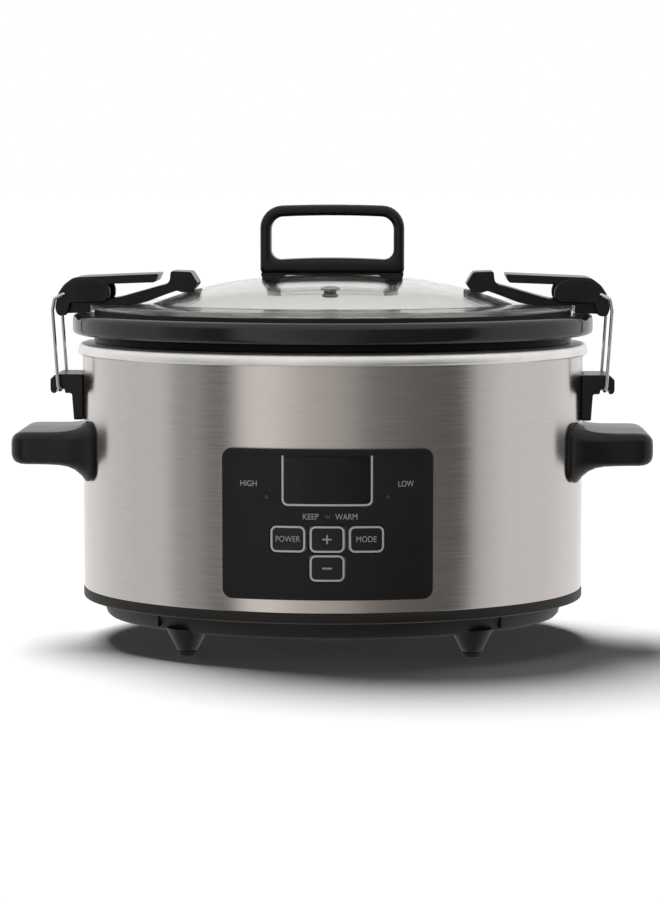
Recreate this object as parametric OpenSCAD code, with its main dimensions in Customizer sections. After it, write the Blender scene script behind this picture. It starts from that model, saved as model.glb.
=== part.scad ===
// Oval slow cooker with a lift-out stoneware crock, a clear glass lid held down by
// two over-centre lid latches, carrying handles and a push-button control panel.
// Frame: origin on the table under the middle of the cooker, +Z up, front towards -Y.

/* [Body] */
// Length of the steel wrap, left to right
body_len = 290; // [240:1:360]
// Depth of the steel wrap, front to back
body_dep = 216; // [180:1:280]
// Height of the base under the steel wrap
base_h = 31; // [26:1:40]
// Height of the steel wrap
wrap_h = 135.5; // [110:0.5:170]
// Thickness of the steel wrap
wrap_t = 0.8; // [0.5:0.1:1.5]
// Height of the rolled rim above the wrap
rim_h = 6.5; // [5:0.5:9]
// How far the rolled rim stands out past the wrap
rim_out = 2.5; // [2:0.5:5]

/* [Crock] */
// Wall thickness of the stoneware
crock_wall = 7; // [5:0.5:9]
// Height of the stoneware rim band
crock_rim_h = 11.8; // [9:0.1:15]
// How far the stoneware rim stands out past the wrap
crock_rim_out = 5.5; // [4:0.5:8]
// Lift that raises the stoneware out of the well
crock_lift = 120; // [90:5:160]

/* [Lid] */
// Thickness of the glass
glass_t = 3; // [2.5:0.5:5]
// Height of the glass dome above its flange
dome_h = 17; // [14:0.5:26]
// How far the glass edge lies inside the line of the wrap
lid_in = 6; // [4:0.5:9]

/* [Lid handle] */
// Width of the handle loop
knob_w = 83; // [66:1:100]
// Height of the handle loop above its foot
knob_h = 39.4; // [32:0.2:48]
// Thickness of the top and side bars of the loop
knob_bar = 6.2; // [5:0.2:8]
// Thickness of the lower bar of the loop
knob_low = 8.8; // [7:0.2:11]
// Front-to-back size of the loop
knob_dep = 17; // [14:1:22]

/* [Carrying handles] */
// How far a grip stands out past the wrap
grip_out = 39; // [32:1:48]
// Front-to-back size of a grip
grip_w = 70; // [58:1:84]
// Thickness of a grip
grip_t = 19; // [15:1:23]

/* [Control panel] */
// Width of the panel
panel_w = 114; // [100:1:137]
// Height of the panel
panel_h = 81; // [76:1:98]
// Corner radius of the panel
panel_r = 5; // [3:0.5:8]
// Width of a key
key_w = 19.5; // [17:0.5:20.5]
// Height of a key
key_h = 15; // [13:0.5:15.5]
// Travel of a key
key_travel = 0.6; // [0.4:0.1:0.8]

/* [Latches] */
// Width of the lever
lever_w = 36; // [32:1:40]
// Radius of the bail wire
wire_r = 1; // [0.8:0.1:1.3]
// Radius of the pivot pin
pin_r = 2; // [1.6:0.1:2.4]

/* [Fits] */
// Gap of a turning fit, on the radius
run_gap = 0.06; // [0.03:0.01:0.1]
// Gap round a key
key_gap = 0.3; // [0.2:0.05:0.5]
// Gap between the stoneware and the well
crock_gap = 3; // [2:0.5:4]

/* [Hidden] */
a = body_len / 2;
b = body_dep / 2;
facets = 96;
z_wrap = base_h;
z_rim = base_h + wrap_h;
z_seat = z_rim + rim_h;
z_top = z_seat + 5 + crock_rim_h;
z_flange = z_top + 2 + glass_t;
// Depth of the wrap's curve behind the panel; a deeper curve pushes the well further in.
bow = b - b * sqrt(1 - pow((panel_w / 2 - 12.5) / a, 2));
well_in = 15 + max(0, bow - 5.22);
well_t = 1.2;
z_well = base_h + 13;
x_end = a + crock_rim_out;
px = x_end + 4.6;
pz = z_top + 2.4;
qx = px - 1.6;
qz = pz + 9.2;
hx = a + 11.4;
hz = z_top - 43.7;
dome_x = 0.724 * a;
lid_end = a - lid_in;
grip_z = hz - 41.93;
panel_z = z_wrap + 9.4 + panel_h / 2;
face_y = -(b + 3);
board_y = 1.988 + bow - b;
win_w = 49.6;
win_h = 27.3;
win_z = panel_z + panel_h / 2 - 3.5 - win_h / 2;
key_px = 21.4;
key_z1 = panel_z - 8.5;
key_z2 = key_z1 - key_h - 0.9;
knob_x = knob_w / 2 - 7.5;
z_spot = z_flange + dome_h - 2.1;
z_foot = z_spot + 3.1;
vent_y = -0.46 * b;
arm_w = lever_w - 10;
key_post = board_y - 1.5 - key_travel;
leg_y = lever_w / 2 + 3;
screw_tip = 1.2 - (b + 3) * sqrt(1 - pow((panel_w / 2 - 17) / (a + 3), 2));

// ---- shared shapes -------------------------------------------------------------

// The plan oval of the wrap, moved out (or in) by d all round.
function oval_pts(d) = [for (i = [0:facets - 1])
  let (t = 360 * i / facets, nx = b * cos(t), ny = a * sin(t), l = norm([nx, ny]))
  [a * cos(t) + d * nx / l, b * sin(t) + d * ny / l]];

// A rectangle with round corners, as points.
function rr_pts(w, h, r) = [for (q = [0:3], k = [0:6])
  let (t = 90 * q + 15 * k, sx = (q == 0 || q == 3) ? 1 : -1, sy = q < 2 ? 1 : -1)
  [sx * (w / 2 - r) + r * cos(t), sy * (h / 2 - r) + r * sin(t)]];

function dome_z(x) = z_flange + dome_h * (1 - pow(min(abs(x) / dome_x, 1), 2.5));

module slab(d, z0, z1) {
  translate([0, 0, z0]) linear_extrude(z1 - z0) polygon(oval_pts(d));
}

module band(d0, d1, z0, z1) {
  difference() {
    slab(d1, z0, z1);
    slab(d0, z0 - 1, z1 + 1);
  }
}

// A flat outline in X and Z, given a width in Y.
module side_cut(w, y = 0) {
  translate([0, y + w / 2, 0]) rotate([90, 0, 0]) linear_extrude(w) children();
}

// A rounded bar across the front face, from y0 back to y1.
module front_block(w, h, r, x, z, y0, y1) {
  translate([x, y1, z]) rotate([90, 0, 0]) linear_extrude(y1 - y0) polygon(rr_pts(w, h, r));
}

module rod(p, q, r) {
  v = q - p;
  l = norm(v);
  translate(p) rotate([0, acos(v[2] / l), atan2(v[1], v[0])]) cylinder(r = r, h = l, $fn = 24);
}

module dome(drop, z0) {
  hull() {
    for (i = [0:7])
      let (x = max(dome_x * i / 7, 2) - drop * 0.3 * i / 7)
      translate([0, 0, z0]) linear_extrude(dome_z(dome_x * i / 7) - drop - z0)
        scale([1, b / a]) circle(r = x, $fn = 64);
  }
}

module screw(r_head, h_head, r, l) {
  cylinder(r = r_head, h = h_head, $fn = 32);
  translate([0, 0, h_head]) cylinder(r = r, h = l, $fn = 24);
}

// ---- base ------------------------------------------------------------------------

foot_x = a * 0.552;
foot_y = b * 0.6;

module foot_places() {
  for (sx = [-1, 1], sy = [-1, 1]) translate([sx * foot_x, sy * foot_y, 0]) children();
}

module base_tray() {
  color("#232220") difference() {
    union() {
      slab(-10, 14, base_h - 5);
      slab(0.4, base_h - 6, base_h);
      foot_places() translate([0, 0, 3]) cylinder(r1 = 5.8, r2 = 12, h = 13, $fn = 48);
    }
    slab(-13, 16.5, base_h - 5.5);
    slab(-2.6, base_h - 3, base_h + 1);
    slab(-13, base_h - 6, base_h - 2);
    foot_places() translate([0, 0, 2]) cylinder(r = 2.3, h = 20, $fn = 32);
    foot_places() translate([0, 0, 2]) cylinder(r = 4.6, h = 8, $fn = 32);
    for (i = [-5:5]) translate([i * 9, 0, 15]) cube([4, 46, 6], center = true);
  }
}

module foot_pad(sx, sy) {
  color("#1a1a1a") translate([sx * foot_x, sy * foot_y, 0]) {
    cylinder(r = 5.4, h = 3, $fn = 48);
    translate([0, 0, 3]) cylinder(r = 4.6, h = 2, $fn = 32);
  }
}

module base_screws() {
  color("#9a9a9c") foot_places() translate([0, 0, 7.5]) screw(4.4, 2.5, 2.2, 12);
}

module outer_shell() {
  color("#b8b6b4") difference() {
    band(-wrap_t, 0, z_wrap, z_seat - 2.2);
    translate([0, -b, panel_z]) cube([panel_w - 22, 40, panel_h - 14], center = true);
    translate([0, b, z_wrap + 16]) rotate([90, 0, 0]) cylinder(r = 5.6, h = 20, center = true, $fn = 48);
    for (s = [-1, 1], y = [-12, 12]) translate([s * a, y, grip_z + grip_t / 2])
      rotate([0, 90, 0]) cylinder(r = 2.2, h = 30, center = true, $fn = 32);
    for (s = [-1, 1]) translate([s * a, 0, hz - 8])
      rotate([0, 90, 0]) cylinder(r = 2.2, h = 30, center = true, $fn = 32);
  }
}

module heating_well() {
  color("#c9c9c9") difference() {
    union() {
      slab(-well_in + well_t, z_well, z_seat - 0.5);
      slab(rim_out - 0.7, z_seat - 1.2, z_seat);
      slab(rim_out, z_rim, z_seat - 0.7);
    }
    band(-well_in + well_t, rim_out - 1.2, z_well - 1, z_seat - 1.7);
    slab(-well_in, z_well + well_t, z_seat + 1);
    translate([0, 0, z_well - 1]) cylinder(r = 3, h = 4, $fn = 32);
  }
}

module heat_shield() {
  color("#b0b0b2") difference() {
    union() {
      slab(-24, base_h + 4, base_h + 4.8);
      for (s = [-1, 1]) translate([s * (a - 52), 0, 16.5]) cylinder(r = 4, h = base_h - 12.5, $fn = 32);
    }
    translate([0, 0, base_h]) cylinder(r = 11, h = 10, $fn = 32);
    for (s = [-1, 1]) translate([s * 30, b / 3, base_h]) cylinder(r = 4, h = 10, $fn = 32);
  }
}

module heater_band() {
  color("#8c7f6a") band(-well_in + well_t, -well_in + well_t + 0.8, z_well + 10, z_well + 52);
}

module insulation() {
  color("#d8d3c4") band(-well_in + well_t + 0.8, -well_in + well_t + 2.2, z_well + 4, z_well + 70);
}

module temperature_sensor() {
  color("#c8c8ca") translate([0, 0, z_well - 7]) difference() {
    cylinder(r = 9, h = 7, $fn = 48);
    translate([0, 0, -1]) cylinder(r = 3, h = 9, $fn = 32);
  }
}

module thermal_fuse() {
  color("#d9d9db") translate([26, b / 3 - 8, z_well - 1.8]) rotate([0, 90, 0])
    cylinder(r = 1.8, h = 14, center = true, $fn = 32);
}

module clamp_bolt() {
  color("#9a9a9c") {
    translate([0, 0, 16.5]) cylinder(r = 3, h = z_well - 15.3, $fn = 32);
    translate([0, 0, z_well + well_t]) cylinder(r = 6, h = 1.8, $fn = 32);
  }
}

module power_board() {
  color("#2c5a3a") difference() {
    translate([-40, 8, 19.5]) cube([80, 44, 1.6]);
    for (x = [-36, 36], y = [12, 48]) translate([x, y, 18]) cylinder(r = 1.6, h = 5, $fn = 24);
  }
  color("#2c5a3a") for (x = [-36, 36], y = [12, 48]) translate([x, y, 16.5]) difference() {
    cylinder(r = 3, h = 3, $fn = 24);
    translate([0, 0, -1]) cylinder(r = 1.6, h = 5, $fn = 24);
  }
}

module relay() {
  color("#2255a0") translate([-34, 16, 21.1]) cube([19, 15, min(12, base_h - 18.5)]);
}

module transformer() {
  color("#c9a227") translate([12, 14, 21.1]) cube([22, 20, min(12, base_h - 18.5)]);
}

module terminal_block() {
  color("#e6e2d6") difference() {
    translate([-12, 56, 16.5]) cube([24, 12, 10]);
    for (i = [-1:1]) translate([i * 7, 62, 20]) cylinder(r = 2, h = 8, $fn = 24);
  }
}

module cord_gland() {
  color("#1c1c1c") translate([0, 0, z_wrap + 16]) difference() {
    union() {
      translate([0, b + 3.4, 0]) rotate([90, 0, 0]) cylinder(r = 9, h = 3.4, $fn = 48);
      translate([0, b + 1, 0]) rotate([90, 0, 0]) cylinder(r = 5.6, h = 10, $fn = 48);
    }
    translate([0, b + 5, 0]) rotate([90, 0, 0]) cylinder(r = 3.2, h = 20, $fn = 48);
    slab(0, -12, 12);
  }
  color("#1c1c1c") translate([0, b + 0.2, z_wrap + 16]) rotate([90, 0, 0]) difference() {
    cylinder(r = 5.5, h = 8.5, $fn = 48);
    translate([0, 0, -5]) cylinder(r = 3.2, h = 20, $fn = 48);
  }
}

// ---- control panel -----------------------------------------------------------------

// The places of the keys: x, z.
key_at = [[-key_px, key_z1], [0, key_z1], [key_px, key_z1], [0, key_z2]];
led_at = [[-33.2, win_z - 9], [33.2, win_z - 9], [0, win_z - win_h / 2 - 6]];

module panel_bezel() {
  color("#2b2a29") difference() {
    intersection() {
      band(0, 3, panel_z - panel_h / 2 - 1, panel_z + panel_h / 2 + 1);
      front_block(panel_w, panel_h, panel_r, 0, panel_z, -b - 10, 0);
    }
    front_block(win_w, win_h, 4.3, 0, win_z, -b - 10, 0);
    for (k = key_at) front_block(key_w + 2 * key_gap, key_h + 2 * key_gap, 3.5, k[0], k[1], -b - 10, 0);
    for (l = led_at) translate([l[0], 0, l[1]]) rotate([90, 0, 0]) cylinder(r = 1.5, h = b + 10, $fn = 32);
    for (x = [-1, 1], z = [-1, 1]) translate([x * (panel_w / 2 - 17), -b + 8, panel_z + z * (panel_h / 2 - 11)])
      rotate([90, 0, 0]) cylinder(r = 1.4, h = -b + 8 - screw_tip, $fn = 24);
  }
}

module control_housing() {
  color("#34322f") difference() {
    union() {
      translate([-(panel_w / 2 - 12.5), board_y - 0.2, panel_z - panel_h / 2 + 7.5])
        cube([panel_w - 25, 4.4, panel_h - 15]);
      for (x = [-1, 1], z = [-1, 1])
        intersection() {
          translate([x * (panel_w / 2 - 17), board_y + 2.8, panel_z + z * (panel_h / 2 - 11)])
            rotate([90, 0, 0]) cylinder(r = 3, h = board_y + b + 6.8, $fn = 24);
          slab(0, 0, z_seat);
        }
    }
    translate([-(panel_w / 2 - 15), board_y - 1, panel_z - panel_h / 2 + 10])
      cube([panel_w - 30, 4, panel_h - 20]);
    for (x = [-1, 1], z = [-1, 1]) translate([x * (panel_w / 2 - 17), 0, panel_z + z * (panel_h / 2 - 11)])
      rotate([90, 0, 0]) cylinder(r = 1.4, h = b + 10, $fn = 24);
  }
}

module control_board() {
  color("#2c5a3a") translate([-(panel_w / 2 - 20), board_y + 1.4, panel_z - panel_h / 2 + 10.3])
    cube([panel_w - 40, 1.6, panel_h - 20.6]);
}

module key_switches() {
  color("#c9c9c9") for (k = key_at) {
    translate([k[0] - 3, board_y - 0.4, k[1] - 3]) cube([6, 1.8, 6]);
    translate([k[0], board_y - 0.3, k[1]]) rotate([90, 0, 0]) cylinder(r = 1.7, h = 1.1, $fn = 24);
  }
}

module display_module() {
  color("#30403a") translate([-22, board_y - 4.6, win_z - 13])
    cube([44, 6, panel_z + panel_h / 2 - 10.5 - win_z + 13]);
}

module display_window() {
  color("#141416") intersection() {
    band(1.2, 2.4, win_z - win_h, win_z + win_h);
    front_block(win_w - 2.2, win_h - 2.2, 3.2, 0, win_z, -b - 10, 0);
  }
}

module display_trim() {
  color("#b9bcc0") difference() {
    intersection() {
      band(1.2, 3.2, win_z - win_h, win_z + win_h);
      front_block(win_w, win_h, 4.3, 0, win_z, -b - 10, 0);
    }
    front_block(win_w - 2.2, win_h - 2.2, 3.2, 0, win_z, -b - 12, 2);
  }
}

module led(n) {
  color("#d8d8d8") intersection() {
    translate([led_at[n][0], board_y + 1.4, led_at[n][1]]) rotate([90, 0, 0])
      cylinder(r = 1.5, h = 20, $fn = 32);
    slab(3.1, 0, z_top);
  }
}

module panel_screws() {
  color("#9a9a9c") for (x = [-1, 1], z = [-1, 1])
    translate([x * (panel_w / 2 - 17), board_y + 4.2, panel_z + z * (panel_h / 2 - 11)])
    rotate([90, 0, 0]) {
      translate([0, 0, -1.6]) cylinder(r = 2.6, h = 1.6, $fn = 24);
      cylinder(r = 1.4, h = board_y + 4.2 - screw_tip, $fn = 24);
    }
}

module key(n) {
  color("#2f2e2d") {
    intersection() {
      front_block(key_w, key_h, 3.4, key_at[n][0], key_at[n][1], -b - 10, -b + 4);
      slab(3.2, 0, z_top);
    }
    translate([key_at[n][0], key_post, key_at[n][1]]) rotate([90, 0, 0])
      cylinder(r = 2, h = key_post + b - 3.7, $fn = 24);
  }
}

// ---- carrying handles and hooks -----------------------------------------------------

module side_handle() {
  z0 = grip_z;
  color("#262524") difference() {
    union() {
      translate([a - 20, 0, z0]) linear_extrude(grip_t)
        translate([(grip_out + 20) / 2, 0]) polygon(rr_pts(grip_out + 20, grip_w, 9));
      intersection() {
        slab(2.5, z0 - 12, z0 + grip_t + 6);
        translate([a - 30, 0, z0 + grip_t / 2 - 3]) rotate([90, 0, 90]) linear_extrude(40)
          polygon(rr_pts(grip_w + 18, grip_t + 18, 8));
      }
      translate([a - 20, 0, z0 + grip_t / 2 - 1]) rotate([90, 0, 90]) linear_extrude(26)
        polygon(rr_pts(grip_w + 8, grip_t + 8, 6));
    }
    slab(0, z0 - 20, z0 + 60);
    translate([a + 7, -grip_w / 2 + 7, z0 - 1]) cube([grip_out - 13, grip_w - 14, grip_t - 5]);
    for (y = [-12, 12]) translate([a - 20, y, z0 + grip_t / 2]) rotate([0, 90, 0])
      cylinder(r = 2.2, h = 24, $fn = 32);
  }
}

module latch_hook() {
  z0 = grip_z + grip_t + 6;
  color("#1f1e1d") difference() {
    side_cut(lever_w - 2) difference() {
      union() {
        polygon([[a - 10, z0], [a + 4, z0], [a + 5, hz - 3], [a + 5, hz + 8], [a - 10, hz + 9]]);
        polygon([[a - 10, hz - 2.1], [hx + 4.8, hz - 2.1], [hx + 6, hz - 0.6],
          [hx + 6, hz + 6], [hx + 3, hz + 8.9], [a - 10, hz + 8.9]]);
      }
      translate([hx + 0.2, hz - 1.3]) circle(r = 2.6, $fn = 48);
      translate([hx - 2.4, hz - 12]) square([5.2, 10.7]);
    }
    slab(0, hz - 60, hz + 20);
    translate([a - 20, 0, hz - 8]) rotate([0, 90, 0]) cylinder(r = 2.2, h = 23, $fn = 32);
  }
}

module handle_screws() {
  color("#9a9a9c") for (s = [-1, 1]) {
    for (y = [-12, 12]) translate([s * (a - 5.4), y, grip_z + grip_t / 2]) rotate([0, s * 90, 0])
      screw(4, 1.8, 2.2, 6);
    translate([s * (a - 4), 0, hz - 8]) rotate([0, s * 90, 0]) screw(4, 1.8, 2.2, 5);
  }
}

// ---- crock and lid ------------------------------------------------------------------

module crock() {
  d = -well_in - crock_gap;
  color("#1d1b1a") difference() {
    union() {
      slab(d - 8, z_well + 6, z_well + 12);
      slab(d, z_well + 11, z_seat + 4);
      slab(-7, z_seat, z_seat + 5.5);
      slab(crock_rim_out - 1.5, z_seat + 5, z_top);
      slab(crock_rim_out, z_seat + 6, z_top - 1.5);
    }
    slab(d - crock_wall, z_well + 16, z_top + 1);
    slab(d - crock_wall - 4, z_well + 13, z_well + 17);
  }
}

module lid_glass() {
  color("#cfd8d2", 0.5) difference() {
    union() {
      slab(-lid_in, z_flange - glass_t, z_flange);
      dome(0, z_flange - 1);
    }
    dome(glass_t + 0.6, z_flange - 12);
    for (s = [-1, 1]) translate([s * knob_x, 0, z_flange - 5]) {
      cylinder(r = 2.2, h = 40, $fn = 32);
      translate([0, 0, z_spot - z_flange + 5]) cylinder(r = 6.2, h = 20, $fn = 48);
      cylinder(r = 6.2, h = z_spot - z_flange + 5 - 3, $fn = 48);
    }
    translate([0, vent_y, z_flange - 20]) cylinder(r = 3.4, h = 60, $fn = 32);
    translate([0, vent_y, vent_z]) cylinder(r = 5.6, h = 20, $fn = 48);
  }
}
vent_z = dome_z(vent_y * a / b) - 1.2;

module lid_gasket() {
  color("#161616") difference() {
    band(-lid_in - 6, -lid_in - 1, z_top, z_flange - glass_t);
    for (s = [-1, 1]) translate([s * a, 0, z_top + 6.3]) cube([40, arm_w + 2, 10], center = true);
  }
}

module lid_handle() {
  z0 = z_foot;
  color("#1b1a1a") difference() {
    side_cut(knob_dep) difference() {
      union() {
        translate([0, z0 + knob_h / 2]) polygon(rr_pts(knob_w, knob_h, 12));
        translate([0, z0 + 8]) polygon(rr_pts(knob_w, 16, 2));
      }
      translate([0, z0 + (knob_h + knob_low - knob_bar) / 2])
        polygon(rr_pts(knob_w - 2 * knob_bar, knob_h - knob_bar - knob_low, 7));
    }
    for (s = [-1, 1]) translate([s * knob_x, 0, z0 - 1]) cylinder(r = 2.2, h = 5, $fn = 32);
  }
}

module lid_handle_foot() {
  color("#242322") difference() {
    union() {
      translate([-knob_x, -6, z_foot - 0.8]) cube([2 * knob_x, 12, 0.8]);
      for (s = [-1, 1]) translate([s * knob_x, 0, z_spot]) cylinder(r = 6, h = z_foot - z_spot, $fn = 48);
    }
    for (s = [-1, 1]) translate([s * knob_x, 0, z_spot - 1]) cylinder(r = 2.2, h = 20, $fn = 32);
  }
}

module lid_washers() {
  color("#c4c4c6") for (s = [-1, 1]) translate([s * knob_x, 0, z_spot - 4.2]) difference() {
    cylinder(r = 6, h = 1.2, $fn = 48);
    translate([0, 0, -1]) cylinder(r = 2.2, h = 4, $fn = 32);
  }
}

module lid_screws() {
  color("#c4c4c6") for (s = [-1, 1]) translate([s * knob_x, 0, z_spot - 6.8]) screw(4.2, 2.6, 2.2, 11);
}

module steam_vent() {
  color("#a8a8aa") translate([0, vent_y, 0]) difference() {
    union() {
      translate([0, 0, vent_z]) cylinder(r = 5.4, h = 1.6, $fn = 48);
      translate([0, 0, vent_z - 5]) cylinder(r = 3.4, h = 6, $fn = 32);
    }
    translate([0, 0, vent_z - 6]) cylinder(r = 2.2, h = 12, $fn = 32);
  }
}

// ---- latches (drawn on the right, mirrored to the left) -------------------------------

head_in = 0.532 * a;
head_out = 0.64 * a;
tip_x = 0.685 * a;

module latch_arm() {
  color("#1f1d1c") difference() {
    side_cut(arm_w) difference() {
      union() {
        polygon([[px, pz + 3.6], [x_end - 24, z_top + 8.2], [head_out, z_top + 18.2],
          [head_out, z_top + 24.4], [head_in + 4, z_top + 24], [head_in, z_top + 17.6],
          [head_in + 11, z_top + 14], [head_out + 3, z_top + 12], [0.745 * a, z_top + 7],
          [0.80 * a, z_flange], [lid_end + 0.6, z_flange], [lid_end + 0.6, z_top + 0.6],
          [px, pz - 2]]);
        translate([px, pz]) circle(r = 3.7, $fn = 48);
      }
      translate([px, pz]) circle(r = pin_r, $fn = 32);
    }
  }
}

module arm_pad() {
  color("#151515") side_cut(arm_w - 4)
    polygon([[head_in, z_top + 17.6], [head_in + 11, z_top + 14],
      [head_in + 10.6, z_top + 12.7], [head_in + 0.4, z_top + 16.2]]);
}

module rim_clip() {
  color("#b4b4b6") side_cut(arm_w - 6)
    polygon([[lid_end - 12, z_top + 1.4], [lid_end + 0.6, z_top + 1.4], [lid_end + 0.6, z_flange],
      [lid_end, z_flange], [lid_end, z_top + 2], [lid_end - 12, z_top + 2]]);
}

module pivot_pin() {
  color("#a0a0a2") translate([px, lever_w / 2 - 0.5, pz]) rotate([90, 0, 0])
    cylinder(r = pin_r, h = lever_w - 1, $fn = 32);
}

module lever() {
  t = 4.2;
  color("#1f1d1c") {
    side_cut(lever_w) difference() {
      polygon([[tip_x, z_top + 23], [tip_x + 2, z_top + 18.1], [x_end - 14.9, z_top + 16.9],
        [x_end - 1, z_top + 16.5], [x_end + 2, z_top + 14.6], [px + 1, z_top + 13.9],
        [x_end + 3.2, z_top + 17], [x_end - 1.7, z_top + 20.6], [x_end - 5, z_top + 21.1]]);
      translate([qx, qz]) circle(r = wire_r + run_gap, $fn = 32);
    }
    for (y = [-1, 1]) side_cut(t, y * (lever_w - t) / 2) difference() {
      union() {
        intersection() {
          translate([x_end - 10.5, z_top + 9.2]) circle(r = 13, $fn = 64);
          translate([x_end - 24, z_top + 6]) square([26, 14.6]);
        }
        polygon([[x_end - 8, z_top + 6], [x_end + 0.8, z_top + 6], [px - 4.2, pz], [px + 4.2, pz],
          [px + 1.4, z_top + 13.4], [x_end - 1.7, z_top + 20.4], [x_end - 10, z_top + 20.4]]);
        translate([px, pz]) circle(r = 4.2, $fn = 48);
      }
      translate([px, pz]) circle(r = pin_r + run_gap, $fn = 32);
      translate([qx, qz]) circle(r = wire_r + run_gap, $fn = 32);
    }
  }
}

// The points of a bail leg in X and Z, from the pivot down to the crosspiece.
leg = [[qx, qz], [px + 3.8, qz - 2.6], [px + 5, pz], [hx + 0.9, hz + 2.6], [hx, hz]];

module bail() {
  color("#b9babc") {
    for (s = [-1, 1]) {
      for (i = [0:3]) rod([leg[i][0], s * leg_y, leg[i][1]], [leg[i + 1][0], s * leg_y, leg[i + 1][1]], wire_r);
      for (i = [0:4]) translate([leg[i][0], s * leg_y, leg[i][1]]) sphere(r = wire_r + 0.12, $fn = 32);
      rod([qx, s * (leg_y + 0.3), qz], [qx, s * (lever_w / 2 - 4), qz], wire_r);
    }
    rod([hx, -leg_y, hz], [hx, leg_y, hz], wire_r);
  }
}

base_tray();
foot_pad(-1, -1);  // foot_pad_fl
foot_pad(1, -1);  // foot_pad_fr
foot_pad(-1, 1);  // foot_pad_bl
foot_pad(1, 1);  // foot_pad_br
base_screws();
outer_shell();
heating_well();
heat_shield();
heater_band();
insulation();
temperature_sensor();
thermal_fuse();
clamp_bolt();
power_board();
relay();
transformer();
terminal_block();
cord_gland();
control_housing();
control_board();
key_switches();
display_module();
panel_bezel();
panel_screws();
display_window();
display_trim();
led(0);  // led_high
led(1);  // led_low
led(2);  // led_warm
key(0);  // key_power
key(1);  // key_plus
key(2);  // key_mode
key(3);  // key_minus
mirror([1, 0, 0]) side_handle();  // side_handle_l
side_handle();  // side_handle_r
mirror([1, 0, 0]) latch_hook();  // latch_hook_l
latch_hook();  // latch_hook_r
handle_screws();
crock();
lid_glass();
lid_gasket();
lid_handle();
lid_handle_foot();
lid_screws();
lid_washers();
steam_vent();
mirror([1, 0, 0]) latch_arm();  // latch_arm_l
latch_arm();  // latch_arm_r
mirror([1, 0, 0]) arm_pad();  // arm_pad_l
arm_pad();  // arm_pad_r
mirror([1, 0, 0]) rim_clip();  // rim_clip_l
rim_clip();  // rim_clip_r
mirror([1, 0, 0]) pivot_pin();  // pivot_pin_l
pivot_pin();  // pivot_pin_r
mirror([1, 0, 0]) lever();  // lever_l
lever();  // lever_r
mirror([1, 0, 0]) bail();  // bail_l
bail();  // bail_r
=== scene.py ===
"""Oval slow cooker: steel wrap, stoneware crock, latched glass lid and a push-button panel.

Lengths inside the geometry functions are millimetres; place() turns a finished mesh to metres.
"""
import math

import bmesh
import bpy
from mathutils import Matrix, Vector


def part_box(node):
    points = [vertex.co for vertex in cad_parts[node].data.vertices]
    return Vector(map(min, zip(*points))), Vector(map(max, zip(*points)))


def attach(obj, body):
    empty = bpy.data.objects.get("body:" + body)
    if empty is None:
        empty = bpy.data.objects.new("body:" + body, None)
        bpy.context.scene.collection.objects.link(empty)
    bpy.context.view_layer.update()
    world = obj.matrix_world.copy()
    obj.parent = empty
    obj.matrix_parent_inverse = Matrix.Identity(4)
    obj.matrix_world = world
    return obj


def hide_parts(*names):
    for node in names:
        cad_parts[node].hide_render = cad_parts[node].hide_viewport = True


bl_info = {
    "name": "Slow Cooker",
    "version": (1, 0, 0),
    "blender": (4, 5, 0),
    "location": "3D View > Sidebar > Cooker",
    "description": "Builds the visible pieces of an oval slow cooker around its packed parts",
    "category": "Object",
}

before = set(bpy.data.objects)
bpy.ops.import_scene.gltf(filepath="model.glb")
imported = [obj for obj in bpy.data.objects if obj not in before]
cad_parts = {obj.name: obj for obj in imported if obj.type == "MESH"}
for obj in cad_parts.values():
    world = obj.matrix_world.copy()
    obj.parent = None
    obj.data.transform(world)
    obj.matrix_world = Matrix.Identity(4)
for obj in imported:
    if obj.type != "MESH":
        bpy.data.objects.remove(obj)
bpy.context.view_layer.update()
MM = 0.001


def cad_top(node, axis):
    """The highest coordinate of a CAD node along an axis, in mm."""
    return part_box(node)[1][axis] / MM


def cad_low(node, axis):
    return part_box(node)[0][axis] / MM


# ---- the object's own measures, in mm --------------------------------------------------

HALF_LEN = cad_top("outer_shell", 0)
HALF_DEP = cad_top("outer_shell", 1)
Z_WRAP = cad_low("outer_shell", 2)
Z_SEAT = cad_top("heating_well", 2)
RIM_H = 6.5
Z_RIM = Z_SEAT - RIM_H
Z_WELL = cad_low("heating_well", 2)
Z_TOP = cad_top("crock", 2)
Z_GLASS = cad_low("lid_glass", 2)
Z_LOOP = cad_low("lid_handle", 2)
LOOP_H = cad_top("lid_handle", 2) - Z_LOOP
LOOP_W = 2 * cad_top("lid_handle", 0)
LOOP_D = 2 * cad_top("lid_handle", 1)
GRIP_OUT = cad_top("side_handle_r", 0)
GRIP_Z = cad_low("side_handle_r", 2) + 12
PANEL_W = 2 * cad_top("panel_bezel", 0)
PANEL_LOW = cad_low("panel_bezel", 2)
PANEL_H = cad_top("panel_bezel", 2) - PANEL_LOW
PANEL_Z = PANEL_LOW + PANEL_H / 2
X_END = cad_top("crock", 0)
PIVOT = (X_END + 4.6, Z_TOP + 2.4)
BAIL_TOP = (X_END + 3.0, Z_TOP + 11.6)
HOOK = (HALF_LEN + 11.4, Z_TOP - 43.7)
KEY_X = 21.4
KEY_Z = (PANEL_Z - 8.5, PANEL_Z - 24.4)
WINDOW_Z = PANEL_Z + PANEL_H / 2 - 17.15
KEY_W, KEY_H = 19.5, 15.0
WINDOW_W, WINDOW_H = 49.6, 27.3
GRIP_T = 19
DOME_RISE = 17.0
DOME_REACH = 0.724 * HALF_LEN
SIDES = 192


def linear(code, alpha=1.0):
    """An sRGB hex colour as the linear values a shader wants."""
    out = []
    for k in (1, 3, 5):
        c = int(code[k:k + 2], 16) / 255
        out.append(c / 12.92 if c <= 0.04045 else ((c + 0.055) / 1.055) ** 2.4)
    return (*out, alpha)


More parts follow.
